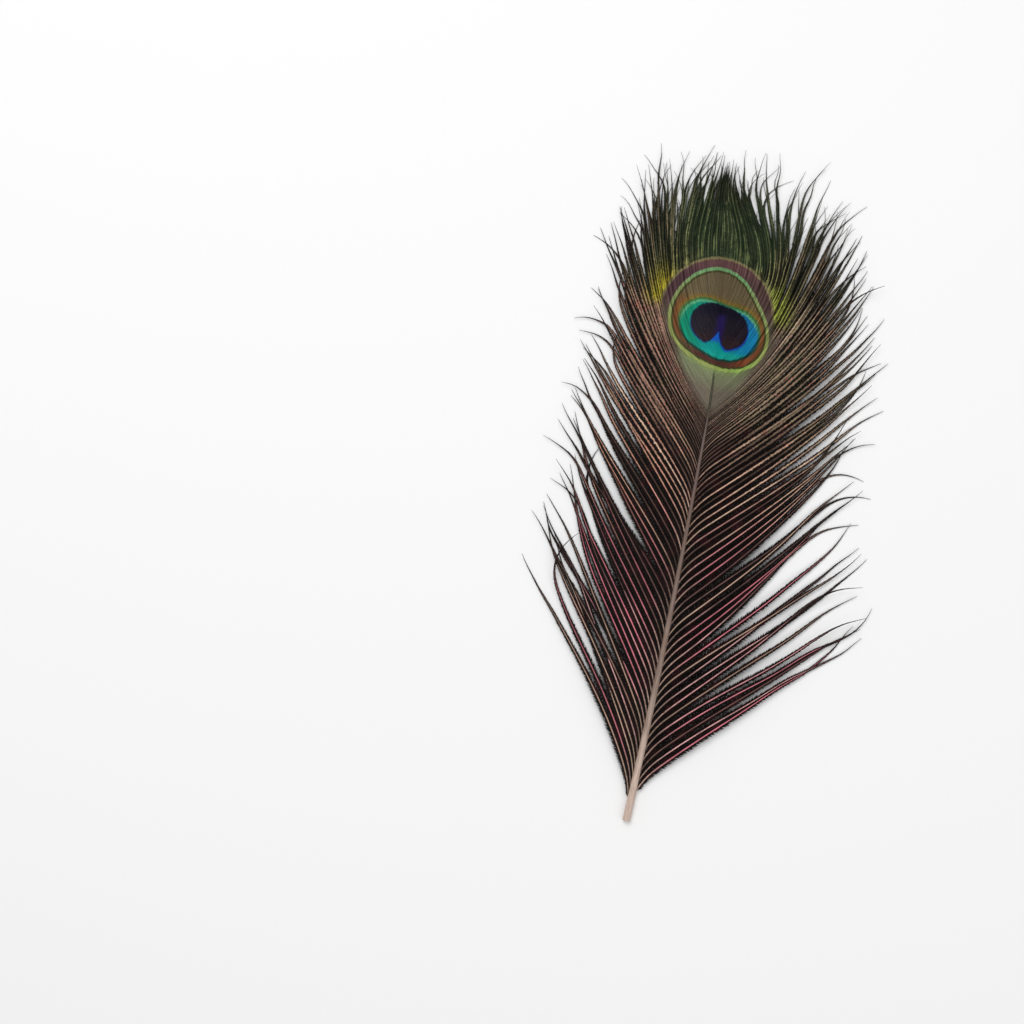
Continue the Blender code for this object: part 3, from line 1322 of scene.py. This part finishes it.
def joined(name: str, plan: Plan, strands: Shell, barbules: Shell, count: int) -> bpy.types.Object:
    """Makes one mesh object of strands and barbules.

    Args:
        name: The piece's name.
        plan: Where the feather's plan lies.
        strands: The strands, of four-sided faces.
        barbules: The barbules, of three-sided faces.
        count: How many barbs there are, each with two end caps and a strip in the map.

    Returns:
        The object.
    """
    mesh = bpy.data.meshes.new(name)
    points = plan.place(np.concatenate([strands.points, barbules.points]))
    quads, triangles = strands.faces, barbules.faces + len(strands.points)
    corners = np.concatenate([quads.ravel(), triangles.ravel()]).astype(np.int32)
    starts = np.concatenate([4 * np.arange(len(quads)), quads.size + 3 * np.arange(len(triangles))])
    mesh.vertices.add(len(points))
    mesh.vertices.foreach_set("co", points.astype(np.float32).ravel())
    mesh.loops.add(len(corners))
    mesh.loops.foreach_set("vertex_index", corners)
    mesh.polygons.add(len(starts))
    mesh.polygons.foreach_set("loop_start", starts.astype(np.int32))
    mesh.update(calc_edges=True)
    mesh.polygons.foreach_set("use_smooth", np.arange(len(starts)) < len(quads))
    for label in ("along", "out", "tint", "web"):
        values = np.concatenate([getattr(strands, label), getattr(barbules, label)]).astype(np.float32)
        mesh.attributes.new(label, "FLOAT", "POINT").data.foreach_set("value", values)
    spread = np.concatenate([strands.spread, barbules.spread])[corners]
    # An end cap's corners share one spot of the strip, so they are spread a little.
    small = np.array([(0, -1), (1, 0), (0, 1), (-1, 0)]) * (0.003, 0.1 / count)
    spread[quads.size - 4 * 2 * count : quads.size] += np.tile(small, (2 * count, 1))
    layer = mesh.uv_layers.new(name="OFBake")
    layer.data.foreach_set("uv", np.clip(spread, 0, 1).astype(np.float32).ravel())
    mesh.validate()
    mesh.update()
    piece = bpy.data.objects.new(name, mesh)
    bpy.context.scene.collection.objects.link(piece)
    return piece


@dataclass
class Rachis:
    """The feather's stem, from its cut end to where it thins away under the eye."""

    course: Course
    sides: int = 20
    stations: int = 62
    rim: float = 0.34
    hollow: float = 0.5
    groove: float = 0.16
    underside: float = 0.985
    smooth_angle: float = 40.0

    def build(
        self, plan: Plan, keratin: bpy.types.Material, pith: bpy.types.Material
    ) -> bpy.types.Object:
        """Extrudes the stem station by station, then cuts its end and presses its groove.

        Args:
            plan: Where the feather's plan lies.
            keratin: The stem's material.
            pith: The material of the core.

        Returns:
            The piece.
        """
        along = np.linspace(0, self.course.length, self.stations)
        tables = (self.course.sideways, self.course.height, self.course.width)
        across, up, width = (through(table, along) for table in tables)
        middles = plan.place(np.column_stack([across, along, up]))
        heading = self.course.heading(along)
        bpy.ops.object.select_all(action="DESELECT")
        bpy.ops.mesh.primitive_circle_add(
            vertices=self.sides, radius=width[0] / 2 * MM, fill_type="NGON",
            location=middles[0], rotation=(math.pi / 2, 0, -heading[0]),
        )
        stem = bpy.context.object
        stem.name = stem.data.name = "rachis"
        bpy.ops.object.transform_apply(location=True, rotation=True, scale=True)
        bpy.ops.object.mode_set(mode="EDIT")
        bpy.ops.mesh.select_all(action="SELECT")
        for i in range(1, self.stations):
            ahead = tuple(middles[i] - middles[i - 1])
            bpy.ops.mesh.extrude_region_move(TRANSFORM_OT_translate={"value": ahead})
            size = width[i] / width[i - 1]
            bpy.ops.transform.resize(value=(size, size, size), center_override=tuple(middles[i]))
        bpy.ops.mesh.select_all(action="SELECT")
        bpy.ops.mesh.normals_make_consistent(inside=False)
        bpy.ops.object.mode_set(mode="OBJECT")
        stem.data.materials.append(keratin)
        stem.data.materials.append(pith)
        self._cut_end(stem)
        self._groove(stem, middles, width)
        alone(stem)
        bpy.ops.object.shade_smooth_by_angle(angle=math.radians(self.smooth_angle))
        log.info("%s: %d faces", stem.name, len(stem.data.polygons))
        return stem

    def _cut_end(self, stem: bpy.types.Object) -> None:
        """Insets the cut end and sinks its core a little, as the pith shrinks when it dries.

        Args:
            stem: The stem.
        """
        end = min(stem.data.polygons, key=lambda face: face.center.y).index
        bpy.ops.object.mode_set(mode="EDIT")
        bpy.ops.mesh.select_mode(type="FACE")
        bpy.ops.mesh.select_all(action="DESELECT")
        bpy.ops.object.mode_set(mode="OBJECT")
        stem.data.polygons[end].select = True
        bpy.ops.object.mode_set(mode="EDIT")
        bpy.ops.mesh.inset(thickness=self.rim * MM)
        stem.active_material_index = 1
        bpy.ops.object.material_slot_assign()
        bpy.ops.mesh.extrude_region_move(TRANSFORM_OT_translate={"value": (0, self.hollow * MM, 0)})
        bpy.ops.object.mode_set(mode="OBJECT")

    def _groove(self, stem: bpy.types.Object, middles: np.ndarray, width: np.ndarray) -> None:
        """Presses a groove along the underside, which a feather's stem has on its back.

        Args:
            stem: The stem.
            middles: The middle of each station.
            width: The stem's width at each.
        """
        shape = bmesh.new()
        shape.from_mesh(stem.data)
        for vertex in shape.verts:
            i = int(np.argmin(np.abs(middles[:, 1] - vertex.co.y)))
            radius = width[i] / 2 * MM
            if vertex.co.z < middles[i, 2] - self.underside * radius:
                vertex.co.z += 2 * self.groove * radius
        shape.to_mesh(stem.data)
        shape.free()


@dataclass
class Studio:
    """The floor, the light and the camera."""

    tilt: float = 10.9
    looks_at: tuple[float, float] = (-75.6, 124.9)
    view_width: float = 455.0
    lens: float = 90.0

    def floor(self) -> None:
        """Lays a plain pale floor."""
        bpy.ops.object.select_all(action="DESELECT")
        bpy.ops.mesh.primitive_plane_add(size=6.0, location=(0, 0, 0))
        ground = bpy.context.object
        ground.name = "floor"
        made = bpy.data.materials.new("floor")
        made.use_nodes = True
        shader = made.node_tree.nodes["Principled BSDF"]
        shader.inputs["Base Color"].default_value = (0.9, 0.9, 0.9, 1)
        shader.inputs["Roughness"].default_value = 0.9
        shader.inputs["Specular IOR Level"].default_value = 0.1
        ground.data.materials.append(made)

    def light(self) -> None:
        """Sets plain soft light from all round and a broad soft lamp above."""
        world = bpy.data.worlds.new("studio")
        bpy.context.scene.world = world
        world.use_nodes = True
        world.node_tree.nodes["Background"].inputs["Color"].default_value = (1, 1, 1, 1)
        world.node_tree.nodes["Background"].inputs["Strength"].default_value = 0.52
        for name, spot, size, power in (
            ("main lamp", (-0.45, 0.55, 1.3), 0.9, 11.5),
            ("fill lamp", (0.8, -0.5, 1.2), 1.1, 4.0),
        ):
            bpy.ops.object.light_add(type="AREA", location=spot)
            lamp = bpy.context.object
            lamp.name = name
            lamp.data.size = size
            lamp.data.energy = power
            lamp.rotation_euler = (-bpy.data.objects[name].location).to_track_quat("-Z", "Y").to_euler()

    def camera(self, plan: Plan) -> None:
        """Hangs the camera straight above, turned so that the feather leans to the right.

        Args:
            plan: Where the feather's plan lies.
        """
        x, y, _ = plan.place(np.array([*self.looks_at, 0.0]))
        data = bpy.data.cameras.new("camera")
        camera = bpy.data.objects.new("camera", data)
        bpy.context.scene.collection.objects.link(camera)
        data.lens = self.lens
        data.clip_end = 20
        camera.location = (x, y, self.view_width * MM * self.lens / data.sensor_width)
        camera.rotation_euler = (0, 0, math.radians(self.tilt))
        bpy.context.scene.camera = camera
        bpy.context.scene.view_settings.view_transform = "Standard"


# How far apart the barbs' roots are, in millimetres, by place along the shaft.
LOOSE_PITCH: Pairs = (
    (10, 4.6), (112, 4.3), (138, 3.4), (156, 2.3), (168, 1.6), (176, 1.1), (183, 0.8),
)
EYE_PITCH: Pairs = ((180, 0.75), (188, 0.6), (198, 0.5), (212, 0.5), (222, 0.58), (250, 0.6))


@dataclass
class Feather:
    """The whole feather, built piece by piece."""

    plan: Plan
    course: Course

    def families(self) -> list[BarbFamily]:
        """Lists the barb families of both sides.

        Returns:
            The families, from the base up.
        """
        found = []
        for side, word in ((Side.LEFT, "left"), (Side.RIGHT, "right")):
            found.append(
                BarbFamily(
                    name=f"{word}_loose_barbs", side=side,
                    first=10.5 if side is Side.LEFT else 14.0, last=182.5,
                    pitch=LOOSE_PITCH, barbule_pitch=0.29,
                    barbule_length=(
                        (0, 2.3), (0.06, 2.8), (0.3, 2.9), (0.58, 1.9), (0.8, 1.0), (0.9, 0.5), (1, 0.12),
                    ),
                    strand_width=((0, 0.7), (0.3, 0.6), (0.7, 0.4), (0.9, 0.18), (1, 0.08)),
                    root_bend=12.0 if side is Side.LEFT else 17.0, barbule_breadth=1.75,
                )
            )
            for part, first, last in (("eye", 182.8, 213.0), ("crown", 212.8, 250.0)):
                found.append(
                    BarbFamily(
                        name=f"{word}_{part}_barbs", side=side, first=first, last=last,
                        pitch=EYE_PITCH, barbule_pitch=0.3,
                        barbule_length=(
                            (0, 0.8), (0.45, 1.35), (0.68, 1.5), (0.8, 1.0), (0.9, 0.4), (1, 0.1),
                        ),
                        strand_width=((0, 0.34), (0.4, 0.42), (0.75, 0.34), (0.88, 0.17), (1, 0.07)),
                        stray=0.65, tip_ripple=8.0, length_spread=0.18, clump=1.3, curled=0.8,
                    )
                )
        return found

    def build(self) -> list[bpy.types.Object]:
        """Builds every piece and fastens it to the frame.

        Returns:
            The pieces.
        """
        shapes = Templates.model()
        keratin, pith = Keratin().material(self.plan), Pith().material(self.plan)
        plumage = Plumage().material(self.plan)
        stem = Rachis(self.course).build(self.plan, keratin, pith)
        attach(stem, "root")
        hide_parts("shaft")
        made = [stem]
        for family in self.families():
            piece = family.build(self.plan, self.course, shapes, plumage)
            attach(piece, "root")
            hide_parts(f"{family.side.name.lower()}_vane")
            made.append(piece)
        return made


def main() -> None:
    """Builds the feather and its studio."""
    logging.basicConfig(level=logging.INFO, format="%(name)s: %(message)s")
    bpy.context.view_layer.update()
    plan = Plan.of_frame()
    pieces = Feather(plan, Course()).build()
    studio = Studio()
    studio.floor()
    studio.light()
    studio.camera(plan)
    log.info("%d pieces", len(pieces))


if __name__ == "__main__":
    main()
